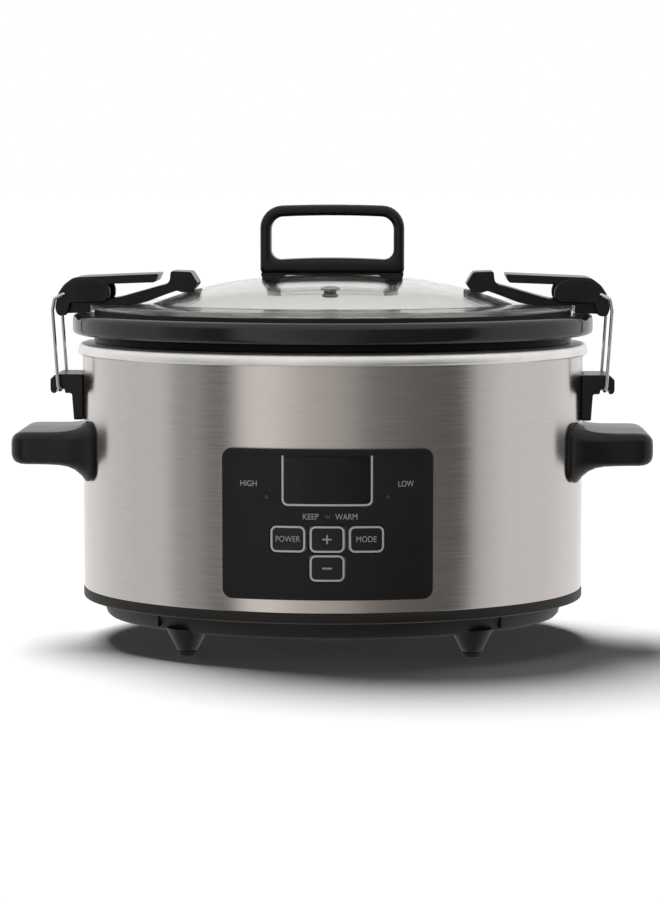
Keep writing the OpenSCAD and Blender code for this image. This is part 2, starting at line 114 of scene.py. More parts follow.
def length(name, mm, description):
    return bpy.props.FloatProperty(name=name, description=description, default=mm * MM,
                                   min=0.0, unit="LENGTH", subtype="DISTANCE")


def colour(name, code, description):
    return bpy.props.FloatVectorProperty(name=name, description=description, size=4, min=0.0,
                                         max=1.0, subtype="COLOR", default=linear(code))


class CookerSizes(bpy.types.PropertyGroup):
    """Sizes that change the look and not the fit."""
    wall: length("Wrap sheet", 0.8, "Thickness of the steel wrap")
    glaze_round: length("Glaze rounding", 1.7, "Rounding of the stoneware rim")
    glass: length("Glass", 3.0, "Thickness of the lid glass")
    loop_bar: length("Loop bar", 6.2, "Thickness of the top and side bars of the lid handle")
    loop_low: length("Loop lower bar", 8.8, "Thickness of the lower bar of the lid handle")
    wire: length("Bail wire", 1.0, "Radius of the bail wire")
    slat: length("Base slat", 5.0, "Width of a slat in the base grille")
    label: length("Label height", 3.2, "Height of the capitals on the panel")
    ink: length("Ink line", 1.1, "Width of the silver lines on the panel")


class CookerColours(bpy.types.PropertyGroup):
    """Colours of the finishes."""
    steel: colour("Wrap steel", "#cdc7c3", "Brushed stainless steel")
    rim: colour("Well aluminium", "#f4f3f0", "Satin aluminium of the rim and well")
    glaze: colour("Glaze", "#0e0c0b", "Black glaze of the stoneware")
    # A painted highlight: the lighter brown laid along the top edge of the crock rim.
    painted_rim_highlight: colour("Painted rim highlight", "#2a211b", "Painted highlight along the top edge of the rim")
    glass: colour("Glass", "#fbfcf8", "Clear lid glass, faintly green")
    plastic: colour("Black plastic", "#0d0b0a", "Moulded handles and latches")
    base: colour("Base plastic", "#15120f", "Moulded base")
    panel: colour("Panel", "#161515", "Charcoal panel")
    key: colour("Key", "#121111", "Key caps")
    window: colour("Window", "#0f0b0a", "Smoked display window")
    ink: colour("Silver ink", "#c0bdba", "Key rings and display line")
    print_: colour("Print", "#a3a09d", "Labels")
    rubber: colour("Rubber", "#161514", "Feet and gasket")
    wire: colour("Plated wire", "#c9cacc", "Bails, clips and pins")


def size(name):
    return getattr(bpy.context.scene.cooker_sizes, name) / MM


def tint(name):
    return tuple(getattr(bpy.context.scene.cooker_colours, name))


def add(tree, kind, values=None, **settings):
    """One node with its settings; each value is a constant or the socket it is linked from."""
    node = tree.nodes.new(kind)
    for key, value in settings.items():
        setattr(node, key, value)
    for key, value in (values or {}).items():
        if isinstance(value, bpy.types.NodeSocket):
            tree.links.new(value, node.inputs[key])
        else:
            node.inputs[key].default_value = value
    return node


# ---- materials --------------------------------------------------------------------------

def finish(name, surface):
    """A new material with a Principled shader carrying the constants in surface."""
    mat = bpy.data.materials.new(name)
    mat.use_nodes = True
    tree = mat.node_tree
    tree.nodes.clear()
    shader = add(tree, "ShaderNodeBsdfPrincipled", surface)
    add(tree, "ShaderNodeOutputMaterial", {"Surface": shader.outputs[0]})
    place_ = add(tree, "ShaderNodeTexCoord").outputs["Object"]
    return mat, tree, shader, place_


def grain(tree, place_, scale, detail=2.0, stretch=(1, 1, 1)):
    """Noise over the piece; scale is features per metre."""
    turned = add(tree, "ShaderNodeMapping", {"Vector": place_, "Scale": stretch}).outputs[0]
    return add(tree, "ShaderNodeTexNoise", {"Vector": turned, "Scale": scale, "Detail": detail}).outputs["Fac"]


def spread(tree, fac, low, high):
    return add(tree, "ShaderNodeMapRange", {"Value": fac, "From Min": 0.3, "From Max": 0.7,
                                            "To Min": low, "To Max": high}).outputs[0]


def tone(tree, fac, dark, light):
    ramp = add(tree, "ShaderNodeValToRGB", {"Fac": fac})
    ramp.color_ramp.elements[0].position, ramp.color_ramp.elements[1].position = 0.3, 0.7
    ramp.color_ramp.elements[0].color, ramp.color_ramp.elements[1].color = dark, light
    return ramp.outputs[0]


def relief(tree, shader, height, depth_mm, strength=1.0):
    bump = add(tree, "ShaderNodeBump", {"Height": height, "Distance": depth_mm * MM, "Strength": strength})
    tree.links.new(bump.outputs[0], shader.inputs["Normal"])


def shade(rgba, factor):
    return (rgba[0] * factor, rgba[1] * factor, rgba[2] * factor, 1.0)


def brushed_steel():
    """Brushed stainless sheet: hairlines run round the wrap, so reflections smear up and down."""
    mat, tree, shader, at = finish("brushed_stainless_sheet", {
        "Metallic": 1.0, "Roughness": 0.2, "Anisotropic": 0.6, "Anisotropic Rotation": 0.25})
    lines = grain(tree, at, 40.0, 3.0, (1, 1, 60))
    cloud = grain(tree, at, 14.0)
    steel = tint("steel")
    tree.links.new(tone(tree, lines, shade(steel, 0.93), steel), shader.inputs["Base Color"])
    rough = add(tree, "ShaderNodeMath", {0: spread(tree, lines, 0.17, 0.25), 1: spread(tree, cloud, -0.02, 0.03)},
                operation="ADD").outputs[0]
    tree.links.new(rough, shader.inputs["Roughness"])
    around = add(tree, "ShaderNodeTangent", direction_type="RADIAL", axis="Z").outputs[0]
    tree.links.new(around, shader.inputs["Tangent"])
    relief(tree, shader, lines, 0.003, 0.2)
    return mat


def satin_metal(name, rgba, rough, scale=300.0, metallic=1.0):
    """Satin metal: a soft even sheen with a faint grain and a few handling marks."""
    mat, tree, shader, at = finish(name, {"Metallic": metallic, "Roughness": rough})
    fine = grain(tree, at, scale, 4.0)
    marks = grain(tree, at, 40.0, 2.0)
    tree.links.new(tone(tree, marks, shade(rgba, 0.9), rgba), shader.inputs["Base Color"])
    tree.links.new(spread(tree, fine, rough - 0.05, rough + 0.06), shader.inputs["Roughness"])
    relief(tree, shader, fine, 0.01, 0.3)
    return mat


def moulded(name, rgba, rough, texture_mm=0.02, scale=1400.0, spec=0.5):
    """Moulded plastic or rubber: fine spark texture, slightly uneven sheen, paler where it wears."""
    mat, tree, shader, at = finish(name, {"Metallic": 0.0, "Roughness": rough, "IOR": 1.52,
                                          "Specular IOR Level": spec})
    fine = grain(tree, at, scale, 2.0)
    broad = grain(tree, at, 30.0, 3.0)
    tree.links.new(tone(tree, broad, rgba, shade(rgba, 1.25)), shader.inputs["Base Color"])
    tree.links.new(spread(tree, broad, rough - 0.04, rough + 0.06), shader.inputs["Roughness"])
    relief(tree, shader, fine, texture_mm, 0.5)
    return mat


def glazed_stoneware():
    """Glazed stoneware: deep wet gloss, a slow ripple, and a painted highlight: the top edge of the rim is mixed
    towards a lighter brown.
    """
    mat, tree, shader, at = finish("black_glazed_stoneware", {
        "Metallic": 0.0, "Roughness": 0.1, "IOR": 1.5})
    slow = grain(tree, at, 22.0, 2.0)
    spots = grain(tree, at, 500.0, 2.0)
    high = add(tree, "ShaderNodeSeparateXYZ", {"Vector": at}).outputs["Z"]
    # Painted highlight: the top 2 mm of the rim are mixed towards a lighter brown, standing in for the light caught
    # along the rim's upper edge.
    highlight_band = add(tree, "ShaderNodeMapRange", {"Value": high, "From Min": (Z_TOP - 2.2) * MM,
                                            "From Max": (Z_TOP - 0.2) * MM, "To Min": 0.0,
                                            "To Max": 0.45}).outputs[0]
    body = tone(tree, spots, tint("glaze"), shade(tint("glaze"), 1.5))
    glaze_with_painted_highlight = add(tree, "ShaderNodeMix", {0: highlight_band, 6: body, 7: tint("painted_rim_highlight")}, data_type="RGBA").outputs[2]
    tree.links.new(glaze_with_painted_highlight, shader.inputs["Base Color"])
    tree.links.new(spread(tree, slow, 0.07, 0.13), shader.inputs["Roughness"])
    relief(tree, shader, slow, 0.25, 0.25)
    return mat


def lid_glass_finish():
    """Tempered soda-lime glass: clear, faintly grey-green, with soft half-strength reflections."""
    mat, tree, shader, at = finish("tempered_lid_glass", {
        "Base Color": tint("glass"), "IOR": 1.45, "Transmission Weight": 1.0, "Alpha": 0.92})
    haze = grain(tree, at, 700.0, 1.0)
    tree.links.new(spread(tree, haze, 0.0, 0.02), shader.inputs["Roughness"])
    return mat


def printed(name, rgba, rough, metallic):
    """Screen-printed ink or foil: thin, even, with the faint mottle of the screen."""
    mat, tree, shader, at = finish(name, {"Metallic": metallic, "Roughness": rough})
    mesh = grain(tree, at, 2500.0, 1.0)
    tree.links.new(tone(tree, mesh, shade(rgba, 0.92), rgba), shader.inputs["Base Color"])
    return mat


def all_finishes():
    made = {
        "steel": brushed_steel(),
        "rim": satin_metal("satin_aluminium", tint("rim"), 0.38),
        "shield": satin_metal("galvanised_sheet", linear("#a9aaac"), 0.45, 120.0),
        "screws": satin_metal("zinc_plated_steel", linear("#b4b4b6"), 0.3),
        "wire": satin_metal("nickel_plated_wire", tint("wire"), 0.16, 200.0),
        "vent": satin_metal("satin_steel_grommet", linear("#a3a4a5"), 0.36),
        "glaze": glazed_stoneware(),
        "glass": lid_glass_finish(),
        "plastic": moulded("satin_black_plastic", tint("plastic"), 0.3, spec=0.3),
        "base": moulded("base_plastic", tint("base"), 0.5, 0.03, 900.0, 0.3),
        "panel": moulded("charcoal_panel_plastic", tint("panel"), 0.46, 0.015, 1800.0, 0.22),
        "key": moulded("key_cap_plastic", tint("key"), 0.38, 0.012, 1800.0, 0.3),
        "window": moulded("smoked_window", tint("window"), 0.12, 0.002, 300.0, 0.25),
        "rubber": moulded("matt_rubber", tint("rubber"), 0.75, 0.03, 1100.0),
        "ink": printed("silver_foil_line", tint("ink"), 0.4, 0.35),
        "print": printed("grey_print", tint("print_"), 0.6, 0.0),
        "led": moulded("frosted_lamp_lens", linear("#262422"), 0.4, 0.005, 900.0),
        "mica": satin_metal("mica_heater_band", linear("#8c7f6a"), 0.6, 60.0, 0.0),
        "wool": moulded("glass_wool_wrap", linear("#d8d3c4"), 0.9, 0.3, 500.0),
        "board": moulded("green_circuit_board", linear("#2c5a3a"), 0.4, 0.02, 700.0),
        "relay": moulded("blue_relay_case", linear("#2255a0"), 0.4),
        "coil": moulded("yellow_transformer_tape", linear("#c9a227"), 0.5),
        "terminal": moulded("cream_terminal_block", linear("#e6e2d6"), 0.5),
        "lcd": moulded("display_module_case", linear("#30403a"), 0.3),
        "housing": moulded("board_housing", linear("#34322f"), 0.5),
    }
    for name, mat in made.items():
        mat["cooker_finish"] = name


def finish_of(name):
    return next(m for m in bpy.data.materials if m.get("cooker_finish") == name)


# ---- shapes -------------------------------------------------------------------------------

def oval(d, z, n=SIDES):
    """The plan oval of the wrap moved out by d, as a ring at height z."""
    ring = []
    for k in range(n):
        t = math.tau * k / n
        nx, ny = HALF_DEP * math.cos(t), HALF_LEN * math.sin(t)
        s = math.hypot(nx, ny)
        ring.append((HALF_LEN * math.cos(t) + d * nx / s, HALF_DEP * math.sin(t) + d * ny / s, z))
    return ring


def front_y(x, d):
    return -(HALF_DEP + d) * math.sqrt(max(0.0, 1 - (x / (HALF_LEN + d)) ** 2))


def end_x(y, d):
    return (HALF_LEN + d) * math.sqrt(max(0.0, 1 - (y / (HALF_DEP + d)) ** 2))


def rounded(w, h, r, k=6, x=0.0, z=0.0):
    """A rectangle with round corners, anticlockwise."""
    pts = []
    for q in range(4):
        sx, sy = (1 if q in (0, 3) else -1), (1 if q < 2 else -1)
        for i in range(k + 1):
            t = math.radians(90 * q + 90 * i / k)
            pts.append((x + sx * (w / 2 - r) + r * math.cos(t), z + sy * (h / 2 - r) + r * math.sin(t)))
    return pts


def soften(points, cut, closed=True, k=4):
    """A polyline with its corners rounded; cut is how far back along the sides each rounding starts."""
    n, out = len(points), []
    for i, p in enumerate(points):
        c = cut[i] if isinstance(cut, (list, tuple)) else cut
        if c <= 0 or (not closed and i in (0, n - 1)):
            out.append(tuple(p))
            continue
        p, a, b = Vector(p), Vector(points[i - 1]), Vector(points[(i + 1) % n])
        c = min(c, 0.48 * (a - p).length, 0.48 * (b - p).length)
        s, e = p + (a - p).normalized() * c, p + (b - p).normalized() * c
        for j in range(k + 1):
            u = j / k
            out.append(tuple(s * (1 - u) ** 2 + p * 2 * u * (1 - u) + e * u * u))
    return out


def skin(rings, cap_first=True, cap_last=True, loop=False):
    """A closed surface through rings of equally many points; a cap is a fan to the ring's middle."""
    bm = bmesh.new()
    rows = [[bm.verts.new(p) for p in ring] for ring in rings]
    pairs = list(zip(rows, rows[1:] + ([rows[0]] if loop else [])))
    n = len(rows[0])
    for low, high in pairs[:len(rows) if loop else len(rows) - 1]:
        for i in range(n):
            j = (i + 1) % n
            bm.faces.new((low[i], low[j], high[j], high[i]))
    for wanted, row in ((cap_first, rows[0]), (cap_last, rows[-1])):
        if wanted and not loop:
            mid = bm.verts.new(sum((v.co for v in row), Vector()) / n)
            for i in range(n):
                bm.faces.new((row[i], row[(i + 1) % n], mid))
    return bm


def lathe(profile, x=0.0, y=0.0, n=40, loop=False):
    """A profile of (radius, z) turned about a vertical line; its ends are closed, or joined in a loop."""
    rings = [[(x + r * math.cos(math.tau * k / n), y + r * math.sin(math.tau * k / n), z) for k in range(n)]
             for r, z in profile]
    return skin(rings, loop=loop)


def prism(outline, low, high, axis="Y"):
    """An outline in X and Z carried along Y, or in X and Y carried along Z."""
    def at(p, t):
        return (p[0], t, p[1]) if axis == "Y" else (p[0], p[1], t)
    bm = bmesh.new()
    ends = [[bm.verts.new(at(p, t)) for p in outline] for t in (low, high)]
    n = len(outline)
    for i in range(n):
        j = (i + 1) % n
        bm.faces.new((ends[0][i], ends[0][j], ends[1][j], ends[1][i]))
    bm.faces.new(ends[0])
    bm.faces.new(ends[1])
    return bm


def to_mesh(obj):
    """The evaluated shape of a working object as a plain mesh; the object is removed."""
    graph = bpy.context.evaluated_depsgraph_get()
    mesh = bpy.data.meshes.new_from_object(obj.evaluated_get(graph))
    bpy.data.objects.remove(obj)
    return mesh


def working_object(name, data):
    obj = bpy.data.objects.new(name, data)
    bpy.context.scene.collection.objects.link(obj)
    return obj


def plate(loops, d0, d1, edge=0.3, side="front"):
    """A plate with rounded edges and holes, bent onto the wrap; loops are (across, height)."""
    curve = bpy.data.curves.new("plate", "CURVE")
    curve.dimensions, curve.fill_mode = "2D", "BOTH"
    for loop in loops:
        spline = curve.splines.new("POLY")
        spline.points.add(len(loop) - 1)
        for point, (u, v) in zip(spline.points, loop):
            point.co = (u, v, 0, 1)
        spline.use_cyclic_u = True
    curve.extrude = (d1 - d0) / 2 - edge
    curve.bevel_depth, curve.bevel_resolution, curve.offset = edge, 2, -edge
    return bend(to_mesh(working_object("plate", curve)), (d0 + d1) / 2, side)


def bend(mesh, middle, side="front", step=4.0):
    """Slices a flat mesh across and lays it on the wrap, middle mm outside it."""
    bm = bmesh.new()
    bm.from_mesh(mesh)
    bmesh.ops.remove_doubles(bm, verts=bm.verts, dist=1e-4)
    low, high = min(v.co.x for v in bm.verts), max(v.co.x for v in bm.verts)
    for k in range(math.ceil(low / step), math.floor(high / step) + 1):
        bmesh.ops.bisect_plane(bm, geom=list(bm.verts) + list(bm.edges) + list(bm.faces),
                               plane_co=(k * step, 0, 0), plane_no=(1, 0, 0), dist=1e-4)
    for v in bm.verts:
        u, h, d = v.co.x, v.co.y, v.co.z + middle
        if side == "front":
            v.co = (u, front_y(u, d), h)
        else:
            v.co = ((1 if side == "right" else -1) * end_x(u, d), u, h)
    return bm


def joined(parts):
    bm = bmesh.new()
    for part in parts:
        mesh = bpy.data.meshes.new("part")
        part.to_mesh(mesh)
        part.free()
        bm.from_mesh(mesh)
        bpy.data.meshes.remove(mesh)
    return bm


def mirrored(bm):
    for v in bm.verts:
        v.co.x = -v.co.x
    return bm


def both_sides():
    """What turns a right-hand shape to each side, with the side's node tag and name."""
    return ((lambda bm: bm), "r", "right"), (mirrored, "l", "left")


def less(bm, cutter):
    """bm with the closed shape cutter taken out of it."""
    objs = []
    for part in (bm, cutter):
        bmesh.ops.recalc_face_normals(part, faces=part.faces)
        mesh = bpy.data.meshes.new("cut")
        part.to_mesh(mesh)
        part.free()
        objs.append(working_object("cut", mesh))
    cut = objs[0].modifiers.new("cut", "BOOLEAN")
    cut.object, cut.operation, cut.solver = objs[1], "DIFFERENCE", "EXACT"
    mesh = to_mesh(objs[0])
    bpy.data.objects.remove(objs[1])
    out = bmesh.new()
    out.from_mesh(mesh)
    return out


def letters(text, cap, width, x, z, d0, d1):
    """Plain capitals of a given height and width, centred at x and z on the panel."""
    font = bpy.data.curves.new("text", "FONT")
    font.body, font.size, font.extrude = text, 10.0, 0.5
    flat = to_mesh(working_object("text", font))
    us, vs = [v.co.x for v in flat.vertices], [v.co.y for v in flat.vertices]
    su, sv = width / (max(us) - min(us)), cap / (max(vs) - min(vs))
    for v in flat.vertices:
        v.co = ((v.co.x - (max(us) + min(us)) / 2) * su + x, (v.co.y - (max(vs) + min(vs)) / 2) * sv + z,
                v.co.z * (d1 - d0))
    return bend(flat, (d0 + d1) / 2)


def place(name, bm, mat, body, replaces=(), bevel=0.0, sharp=38.0, segments=3):
    """Makes a finished piece: metres, outward faces, smooth shading, material and body."""
    bmesh.ops.remove_doubles(bm, verts=bm.verts, dist=2e-3)
    bmesh.ops.dissolve_degenerate(bm, edges=bm.edges, dist=1e-3)
    bmesh.ops.recalc_face_normals(bm, faces=bm.faces)
    bmesh.ops.scale(bm, vec=(MM, MM, MM), verts=bm.verts)
    mesh = bpy.data.meshes.new(name)
    bm.to_mesh(mesh)
    bm.free()
    obj = working_object(name, mesh)
    mesh.shade_smooth()
    mesh.set_sharp_from_angle(angle=math.radians(sharp))
    mesh.materials.clear()
    mesh.materials.append(finish_of(mat))
    for face in mesh.polygons:
        face.material_index = 0
    if bevel:
        mod = obj.modifiers.new("rounding", "BEVEL")
        mod.width, mod.segments, mod.limit_method = bevel * MM, segments, "ANGLE"
        mod.angle_limit, mod.harden_normals = math.radians(32), True
    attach(obj, body)
    if replaces:
        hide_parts(*replaces)
    return obj


# ---- geometry nodes ------------------------------------------------------------------------

def new_tree(name, sockets):
    """A Geometry Nodes group with a Geometry input and output and the named inputs."""
    tree = bpy.data.node_groups.new(name, "GeometryNodeTree")
    tree.interface.new_socket(name="Geometry", in_out="INPUT", socket_type="NodeSocketGeometry")
    for label, kind in sockets:
        tree.interface.new_socket(name=label, in_out="INPUT", socket_type=kind)
    tree.interface.new_socket(name="Geometry", in_out="OUTPUT", socket_type="NodeSocketGeometry")
    return tree, add(tree, "NodeGroupInput").outputs


def close_tree(tree, geometry, mat):
    real = add(tree, "GeometryNodeRealizeInstances", {"Geometry": geometry}).outputs[0]
    last = add(tree, "GeometryNodeSetMaterial", {"Geometry": real, "Material": mat}).outputs[0]
    add(tree, "NodeGroupOutput", {"Geometry": last})


def spread_tree():
    """Copies a piece onto points, each turned by the point's own turn."""
    tree, given = new_tree("spread_along_points", (
        ("Piece", "NodeSocketObject"), ("Scale", "NodeSocketFloat"), ("Finish", "NodeSocketMaterial")))
    shape = add(tree, "GeometryNodeObjectInfo", {"Object": given["Piece"]}).outputs["Geometry"]
    turn = add(tree, "GeometryNodeInputNamedAttribute", {"Name": "turn"}, data_type="FLOAT_VECTOR").outputs[0]
    copies = add(tree, "GeometryNodeInstanceOnPoints", {
        "Points": given["Geometry"], "Instance": shape, "Rotation": turn, "Scale": given["Scale"]}).outputs[0]
    close_tree(tree, copies, given["Finish"])
    return tree


def wire_tree():
    """Round wire along a line of points, with bent corners and closed ends."""
    tree, given = new_tree("bent_wire", (
        ("Wire Radius", "NodeSocketFloat"), ("Bend Radius", "NodeSocketFloat"), ("Finish", "NodeSocketMaterial")))
    line = add(tree, "GeometryNodeMeshToCurve", {"Mesh": given["Geometry"]}).outputs[0]
    bent = add(tree, "GeometryNodeFilletCurve", {
        "Curve": line, "Radius": given["Bend Radius"], "Limit Radius": True, "Count": 6}, mode="POLY").outputs[0]
    section = add(tree, "GeometryNodeCurvePrimitiveCircle", {
        "Resolution": 16, "Radius": given["Wire Radius"]}).outputs[0]
    tube = add(tree, "GeometryNodeCurveToMesh", {
        "Curve": bent, "Profile Curve": section, "Fill Caps": True}).outputs[0]
    close_tree(tree, tube, given["Finish"])
    return tree


def grown(tree, start, values):
    """Runs a Geometry Nodes tree on a starting mesh and returns the result as a bmesh."""
    obj = working_object("start", start)
    mod = obj.modifiers.new("nodes", "NODES")
    mod.node_group = tree
    for item in tree.interface.items_tree:
        if item.in_out == "INPUT" and item.name in values:
            mod[item.identifier] = values[item.name]
    mesh = to_mesh(obj)
    bm = bmesh.new()
    bm.from_mesh(mesh)
    return bm


def points_mesh(points, turns=None, edges=()):
    mesh = bpy.data.meshes.new("points")
    mesh.from_pydata(points, list(edges), [])
    if turns:
        layer = mesh.attributes.new("turn", "FLOAT_VECTOR", "POINT")
        for item, value in zip(layer.data, turns):
            item.vector = value
    return mesh


def copies(bm, points, turns, mat):
    """The shape bm at each point, as one bmesh."""
    mesh = bpy.data.meshes.new("one")
    bmesh.ops.recalc_face_normals(bm, faces=bm.faces)
    bm.to_mesh(mesh)
    bm.free()
    one = working_object("one", mesh)
    out = grown(spread_tree(), points_mesh(points, turns), {"Piece": one, "Scale": 1.0, "Finish": finish_of(mat)})
    bpy.data.objects.remove(one)
    return out


# ---- operators --------------------------------------------------------------------------------

class BuildFinishes(bpy.types.Operator):
    """Make the finishes and give the carried-over parts theirs"""
    bl_idname = "cooker.finishes"
    bl_label = "Finishes"

    def execute(self, context):
        all_finishes()
        kept = {
            "screws": ("base_screws", "thermal_fuse", "clamp_bolt", "panel_screws", "handle_screws",
                       "lid_screws", "key_switches"),
            "shield": ("heat_shield",), "mica": ("heater_band",), "wool": ("insulation",),
            "rim": ("temperature_sensor",), "board": ("power_board", "control_board"),
            "relay": ("relay",), "coil": ("transformer",), "terminal": ("terminal_block",),
            "housing": ("control_housing",), "lcd": ("display_module",),
            "glass": ("lid_washers",), "rubber": ("lid_gasket", "arm_pad_l", "arm_pad_r"),
            "wire": ("rim_clip_l", "rim_clip_r"),
        }
        for name, nodes in kept.items():
            for node in nodes:
                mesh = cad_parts[node].data
                mesh.materials.clear()
                mesh.materials.append(finish_of(name))
        return {"FINISHED"}


class BuildWrap(bpy.types.Operator):
    """The brushed steel wrap with its rear seam"""
    bl_idname = "cooker.wrap"
    bl_label = "Steel wrap"

    def execute(self, context):
        t, top = size("wall"), Z_SEAT - 2.2
        profile = [(-t, Z_WRAP), (-0.3, Z_WRAP), (-0.05, Z_WRAP + 0.25), (0, Z_WRAP + 0.6)]
        profile += [(0, Z_WRAP + (top - Z_WRAP) * k / 8) for k in range(1, 8)] + [(0, top), (-t, top)]
        place("steel_wrap", skin([oval(d, z) for d, z in profile], loop=True), "steel", "base",
              ("outer_shell",))
        seam = plate([rounded(11, Z_RIM - Z_WRAP - 2, 0.8, 3, 62, (Z_RIM + Z_WRAP) / 2)], 0, 0.35, 0.12)
        for v in seam.verts:
            v.co.x, v.co.y = -v.co.x, -v.co.y
        place("wrap_seam", seam, "steel", "base")
        spots = [(-62, -front_y(-62, 0.3), z) for z in range(int(Z_WRAP) + 9, int(Z_RIM) - 5, 11)]
        dimple = lathe([(1.6, 0), (1.5, 0.16), (1.1, 0.28), (0.5, 0.34)], n=20)
        lean = math.atan2(62 * HALF_DEP ** 2, -front_y(62, 0) * HALF_LEN ** 2)
        welds = copies(dimple, spots, [(-math.pi / 2, 0, lean)] * len(spots), "steel")
        place("seam_welds", welds, "steel", "base")
        return {"FINISHED"}


class BuildWell(bpy.types.Operator):
    """The aluminium rim and the heating well in one drawn pan"""
    bl_idname = "cooker.well"
    bl_label = "Rim and well"

    def execute(self, context):
        z, low, high = Z_SEAT, Z_WELL + 36, Z_WELL + 86
        profile = [(-40, Z_WELL + 1.2), (-24, Z_WELL + 1.2), (-19, Z_WELL + 1.9), (-16.2, Z_WELL + 4),
                   (-15, Z_WELL + 8), (-15, low), (-15, high), (-15, z - 4), (-14.6, z - 1.6), (-13.4, z - 0.3),
                   (-12, z), (-5, z), (-0.4, z), (0.6, z - 0.25), (1.4, z - 0.9), (1.95, z - 1.9), (2.3, z - 3.2),
                   (2.5, z - 4.6), (2.5, Z_RIM + 0.9), (2.25, Z_RIM + 0.25), (1.8, Z_RIM), (1.3, Z_RIM + 0.3),
                   (1.0, Z_RIM + 2), (0.4, z - 1.7), (-13.8, z - 1.7),
                   (-13.8, high), (-13.8, low), (-13.8, Z_WELL + 6), (-15, Z_WELL + 2), (-18, Z_WELL + 0.5),
                   (-24, Z_WELL), (-40, Z_WELL)]
        place("well_and_rim", skin([oval(d, h) for d, h in profile]), "rim", "base",
              ("heating_well",), sharp=55)
        return {"FINISHED"}


class BuildBase(bpy.types.Operator):
    """The moulded base with its grille, side ribs, feet and rubber pads"""
    bl_idname = "cooker.base"
    bl_label = "Base"

    def execute(self, context):
        z = Z_WRAP
        profile = [(-60, 14), (-17.5, 14), (-14.6, 14.5), (-13, 16.2), (-10.6, z - 6.6), (-9.5, z - 6.0),
                   (-1.2, z - 6.0), (-0.2, z - 5.7), (0.4, z - 5.0), (0.4, z - 0.9), (0.1, z - 0.25), (-0.5, z),
                   (-2.6, z), (-2.6, z - 3), (-13, z - 3.2), (-15, 20), (-17, 16.5), (-60, 16.5)]
        tub = skin([oval(d, h) for d, h in profile])
        slat, count = size("slat"), 11
        opening = prism(rounded(9 * count + 4, 46, 3), 10, 20, "Z")
        foot_x, foot_y = HALF_LEN * 0.552, HALF_DEP * 0.6
        place("base_tub", less(tub, opening), "base", "base", ("base_tray",),
              bevel=0.35, segments=2)
        bar = prism(rounded(slat, 2.2, 0.8, 3), -23.4, 23.4)
        rows = [((k - (count - 1) / 2) * 9 + 4.5, 0, 15.2) for k in range(count - 1)]
        place("base_grille", copies(bar, rows, [(0, 0, 0)] * len(rows), "base"), "base", "base")
        # A thin rib stands on the side of the tub by each screw tower.
        rib = prism([(-0.55, 16.6), (0.55, 16.6), (0.55, z - 6.2), (-0.55, z - 6.2)], -1.6, 0.9)
        where, turns = [], []
        for x in (-96, 96):
            for side in (-1, 1):
                y = side * -front_y(x, -11.6)
                lean = math.atan2(x / (HALF_LEN - 11.6) ** 2, y / (HALF_DEP - 11.6) ** 2)
                where.append((x, y, 0))
                turns.append((0, 0, -lean))
        place("base_ribs", copies(rib, where, turns, "base"), "base", "base", bevel=0.25)
        corners = [(sx * foot_x, sy * foot_y, 0) for sx in (-1, 1) for sy in (-1, 1)]
        still = [(0, 0, 0)] * 4
        leg = lathe([(3.6, 3.1), (5.2, 3.1), (5.8, 3.6), (6.9, 5.6), (9.1, 10), (11.5, 14.6), (12.2, 16.4),
                     (6, 16.6)])
        place("base_feet", copies(leg, corners, still, "base"), "base", "base")
        pad = lathe([(3.4, 0.5), (3.8, 0), (4.6, 0), (5.3, 0.5), (5.4, 1.2), (5.4, 2.6), (5.0, 3.1), (3.6, 3.2),
                     (3.6, 5)])
        place("foot_pads", copies(pad, corners, still, "rubber"), "rubber", "base",
              ("foot_pad_fl", "foot_pad_fr", "foot_pad_bl", "foot_pad_br"))
        gz, gy = Z_WRAP + 16, HALF_DEP
        bush = lathe([(3.2, 11.7), (3.2, 0), (4.4, 0), (5.5, 0.6), (5.5, 8.3), (9, 8.3), (9, 10.6), (8.2, 11.3),
                      (6.4, 11.5), (5.2, 11.7), (4.2, 11.7)], n=48, loop=True)
        for v in bush.verts:
            v.co = (v.co.x, v.co.z + gy - 8.3, v.co.y + gz)
        place("cord_bush", bush, "plastic", "base", ("cord_gland",))
        return {"FINISHED"}


class BuildCrock(bpy.types.Operator):
    """The glazed stoneware crock with its rounded rim band"""
    bl_idname = "cooker.crock"
    bl_label = "Stoneware"

    def execute(self, context):
        z, s, r, f = Z_TOP, Z_SEAT, size("glaze_round") / 1.7, Z_WELL + 6
        profile = [(-70, f + 0.6), (-34, f + 0.6), (-32, f), (-28, f), (-26.5, f + 0.8), (-25.5, f + 3),
                   (-21.5, f + 7.5), (-19, f + 13), (-18, f + 22), (-18, f + 70), (-18, s - 7),
                   (-16.8, s - 2.4), (-14, s - 0.2), (-12, s), (-7.6, s), (-6.9, s + 1), (-6.5, s + 3.6),
                   (-5, s + 4.8), (2.9, s + 5.1), (4.4, s + 5.6), (5.2, s + 6.6), (5.5, s + 8.2),
                   (5.5, z - 3.4 * r), (5.1, z - 1.6 * r), (4.3, z - 0.6), (3.0, z - 0.1),
                   (1.6, z), (-9, z), (-13, z - 0.5), (-17.5, z - 2.4),
                   (-21.5, z - 6), (-24.2, z - 12), (-25, z - 20), (-25, f + 70), (-25.6, f + 34),
                   (-27.5, f + 22), (-32, f + 14.5), (-40, f + 10.9), (-50, f + 10), (-70, f + 10)]
        bowl = skin([oval(d, h) for d, h in profile])
        place("crock_bowl", bowl, "glaze", "crock", ("crock",), sharp=60)
        return {"FINISHED"}


